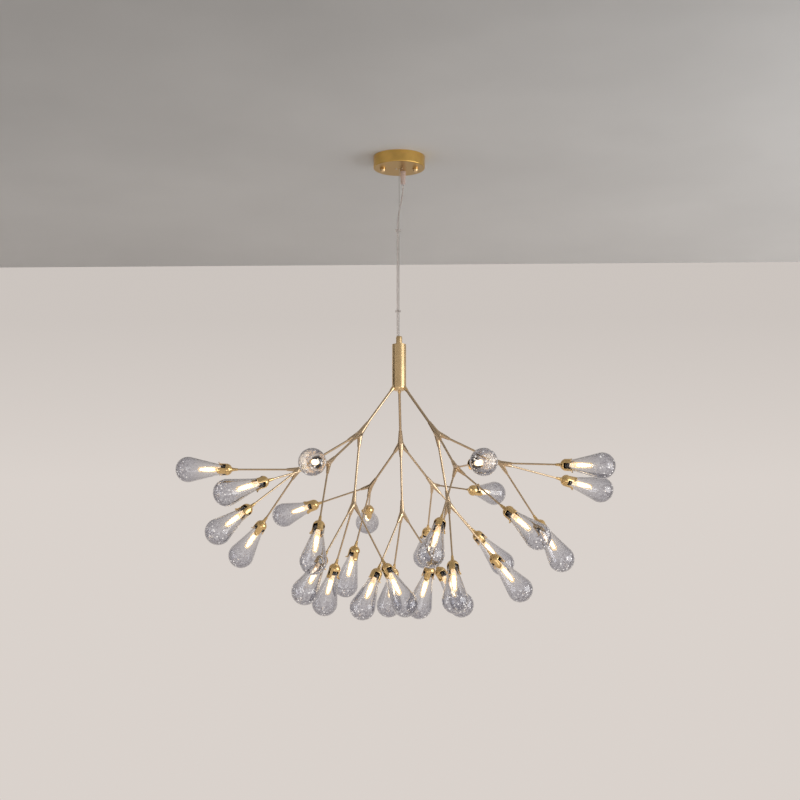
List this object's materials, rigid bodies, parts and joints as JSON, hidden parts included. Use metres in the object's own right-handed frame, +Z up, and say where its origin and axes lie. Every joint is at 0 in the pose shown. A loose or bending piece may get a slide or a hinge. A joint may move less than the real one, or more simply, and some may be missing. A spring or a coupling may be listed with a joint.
{
  "type": "chandelier",
  "caption": "Branching chandelier: a round canopy, one steel wire and a clear cord, a hub, and forked brass arms that carry smoked glass drops in petalled calyxes.",
  "frame": {"origin": "middle of the ceiling bracket's top face, where it meets the ceiling, midway between its two screw slots", "axes": "+Z up into the ceiling, +X along the bracket towards the right-hand cap nut, +Y away from the picture's camera"},
  "size_m": [0.9944, 0.9443, 1.0765],
  "materials": {
    "brass": "satin brushed brass",
    "canopy_brass": "satin",
    "steel": "plain",
    "clear_plastic": "clear, slightly milky",
    "white_plastic": "matte",
    "lampholder_black": "matte",
    "lamp_white": "glowing warm white",
    "smoked_glass": "clear, grey tint"
  },
  "bodies": {
    "canopy": {"canopy_shell": "canopy_brass", "ceiling_bracket": "steel", "bracket_studs": "steel", "cap_nuts": "brass", "wire_anchor": "brass", "anchor_screws": "steel", "cord_gland": "clear_plastic", "gland_nut": "white_plastic", "terminal_block": "white_plastic"},
    "suspension": {"steel_wire": "steel", "wire_end_stop": "brass", "cord_clips": "clear_plastic", "power_cord_upper": "clear_plastic", "power_cord_lower": "clear_plastic"},
    "branches": {"hub_ferrule": "brass", "hub_nut": "steel", "hub_cap": "brass", "hub_tube": "brass", "hub_crown": "brass", "lead_connector": "white_plastic", "left_arm": "brass", "rear_arm": "brass", "right_arm": "brass", "left_first_fork": "brass", "rear_first_fork": "brass", "right_first_fork": "brass", "left_branches": "brass", "rear_branches": "brass", "right_branches": "brass", "left_second_forks": "brass", "rear_second_forks": "brass", "right_second_forks": "brass", "left_stems": "brass", "rear_stems": "brass", "right_stems": "brass", "left_lampholders": "lampholder_black", "rear_lampholders": "lampholder_black", "right_lampholders": "lampholder_black", "left_lamps": "lamp_white", "rear_lamps": "lamp_white", "right_lamps": "lamp_white", "left_calyxes_1": "brass", "left_calyxes_2": "brass", "left_calyxes_3": "brass", "rear_calyxes_1": "brass", "rear_calyxes_2": "brass", "rear_calyxes_3": "brass", "right_calyxes_1": "brass", "right_calyxes_2": "brass", "right_calyxes_3": "brass", "left_glasses_1": "smoked_glass", "left_glasses_2": "smoked_glass", "left_glasses_3": "smoked_glass", "rear_glasses_1": "smoked_glass", "rear_glasses_2": "smoked_glass", "rear_glasses_3": "smoked_glass", "right_glasses_1": "smoked_glass", "right_glasses_2": "smoked_glass", "right_glasses_3": "smoked_glass"}
  },
  "joints": [
    {"name": "swing", "type": "hinge", "parent": "canopy", "child": "suspension", "pos_m": [0, 0, -0.022], "axis": [0, 1, 0], "range_deg": [-10, 10], "deforming": ["power_cord_upper"]},
    {"name": "turn", "type": "hinge", "parent": "suspension", "child": "branches", "pos_m": [0, 0, -0.4428], "axis": [0, 0, 1], "range_deg": [-180, 180]}
  ]
}
